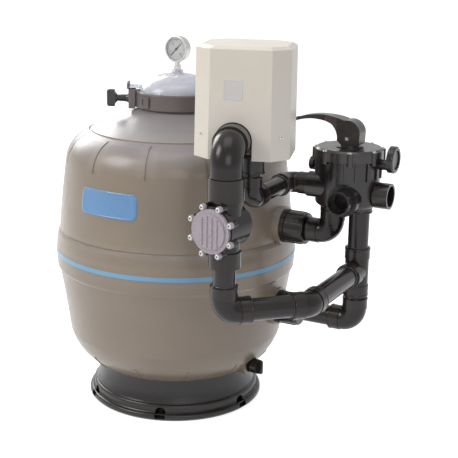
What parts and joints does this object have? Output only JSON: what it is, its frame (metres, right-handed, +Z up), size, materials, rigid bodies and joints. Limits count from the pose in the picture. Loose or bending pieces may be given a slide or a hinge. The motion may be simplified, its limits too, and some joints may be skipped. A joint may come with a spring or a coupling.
{
  "type": "pond bead filter",
  "caption": "Pond bead filter: domed tank on a round stand with a lever-handled multiport valve, air blower and black pipework.",
  "frame": {"origin": "centre of the anchor bolt circle, in the plane of the stand's foot, on the tank axis", "axes": "+Z up the tank axis; +X out along the two tank ports towards the multiport valve; -Y towards the side with the blower and check valve"},
  "size_m": [0.8747, 0.7816, 0.938],
  "materials": {
    "tank_shell": "satin, rotomoulded",
    "stand_black": "satin",
    "band_blue": "satin",
    "fitting_black": "semi-gloss",
    "pipe_black": "semi-gloss",
    "valve_black": "satin",
    "lid_clear": "clear, glossy",
    "clamp_dark": "satin",
    "steel": "brushed",
    "dial_white": "printed",
    "needle_black": "matte",
    "housing_beige": "satin, moulded",
    "motor_grey": "satin",
    "cover_clear": "clear, ribbed",
    "rubber_black": "matte",
    "bead_white": "granular"
  },
  "bodies": {
    "filter": {"base_stand": "stand_black", "tank_vessel": "tank_shell", "blue_band": "band_blue", "upper_bulkhead": "fitting_black", "upper_union_tail": "pipe_black", "upper_union_nut": "fitting_black", "lower_bulkhead": "fitting_black", "lower_union_tail": "pipe_black", "lower_union_nut": "fitting_black", "upper_diffuser": "fitting_black", "lower_laterals": "fitting_black", "bead_bed": "bead_white", "filter_lid": "lid_clear", "clamp_band": "clamp_dark", "clamp_bolt": "steel", "gauge_case": "steel", "gauge_dial": "dial_white", "gauge_window": "lid_clear", "drain_spigot": "fitting_black", "blower_cover": "housing_beige", "blower_base": "stand_black", "blower_volute": "motor_grey", "blower_motor": "motor_grey", "support_pipe": "pipe_black", "support_elbow": "fitting_black", "support_run": "pipe_black", "support_turn": "fitting_black", "outlet_elbow": "fitting_black", "check_body": "fitting_black", "check_cover": "cover_clear", "check_screws": "steel", "check_pin": "steel", "drop_pipe": "pipe_black", "air_elbow": "fitting_black", "cross_pipe": "pipe_black", "air_bend": "fitting_black", "diagonal_pipe": "pipe_black", "upper_elbow": "fitting_black", "upper_riser": "pipe_black", "riser_top": "pipe_black", "riser_tee": "fitting_black", "riser_bottom": "pipe_black", "lower_elbow": "fitting_black", "valve_body": "valve_black", "valve_lid": "valve_black", "sight_cap": "valve_black", "valve_plug": "valve_black", "valve_gasket": "rubber_black"},
    "selector": {"slip_washer": "valve_black"},
    "stem": {"valve_rotor": "valve_black", "handle_pin": "steel", "valve_spring": "steel"},
    "handle": {"valve_handle": "valve_black"},
    "clamp slider": {"clamp_saddle": "clamp_dark"},
    "clamp knob": {"clamp_knob": "valve_black"},
    "pressure needle": {"gauge_needle": "needle_black"},
    "flap": {"check_flap": "rubber_black"},
    "blower wheel": {"blower_impeller": "motor_grey"},
    "drain seal": {"drain_washer": "rubber_black"},
    "drain cap": {"drain_cap": "fitting_black"}
  },
  "joints": [
    {"name": "selector turn", "type": "hinge", "parent": "filter", "child": "selector", "pos_m": [0.457, 0, 0.694], "axis": [0, 0, 1], "continuous": true},
    {"name": "stem lift", "type": "slide", "parent": "selector", "child": "stem", "axis": [0, 0, 1], "range_m": [0, 0.005], "deforming": ["valve_spring"]},
    {"name": "handle press", "type": "hinge", "parent": "stem", "child": "handle", "pos_m": [0.457, 0, 0.712], "axis": [0, -1, 0], "range_deg": [0, 22], "stiffness_Nm_per_rad": 8, "springref_deg": -8.59},
    {"name": "clamp slide", "type": "slide", "parent": "filter", "child": "clamp slider", "axis": [-0.8829, -0.4695, 0], "range_m": [0, 0.008]},
    {"name": "clamp knob turn", "type": "hinge", "parent": "clamp slider", "child": "clamp knob", "pos_m": [-0.14127, -0.07512, 0.763], "axis": [-0.8829, -0.4695, 0], "range_deg": [0, 1440]},
    {"name": "needle swing", "type": "hinge", "parent": "filter", "child": "pressure needle", "pos_m": [0, 0, 0.885], "axis": [0.0872, 0.9962, 0], "range_deg": [0, 270], "stiffness_Nm_per_rad": 0.002, "springref_deg": -17.19},
    {"name": "flap swing", "type": "hinge", "parent": "filter", "child": "flap", "pos_m": [0.35918, -0.38629, 0.597], "axis": [0.9903, -0.1392, 0], "range_deg": [0, 50], "stiffness_Nm_per_rad": 0.02, "springref_deg": -22.92},
    {"name": "blower spin", "type": "hinge", "parent": "filter", "child": "blower wheel", "pos_m": [0.31421, -0.2484, 0.744], "axis": [0, 0, 1], "continuous": true},
    {"name": "drain slide", "type": "slide", "parent": "filter", "child": "drain seal", "axis": [0.9877, -0.1564, 0], "range_m": [0, 0.009]},
    {"name": "drain cap turn", "type": "hinge", "parent": "drain seal", "child": "drain cap", "pos_m": [0.2568, -0.04067, 0.122], "axis": [0.9877, -0.1564, 0], "range_deg": [0, 1080]}
  ],
  "couplings": [
    {"joint": "stem lift", "follows": "handle press", "m_per_rad": 0.013022},
    {"joint": "clamp knob turn", "follows": "clamp slide", "rad_per_m": 3141.6},
    {"joint": "drain cap turn", "follows": "drain slide", "rad_per_m": 2094.4}
  ]
}
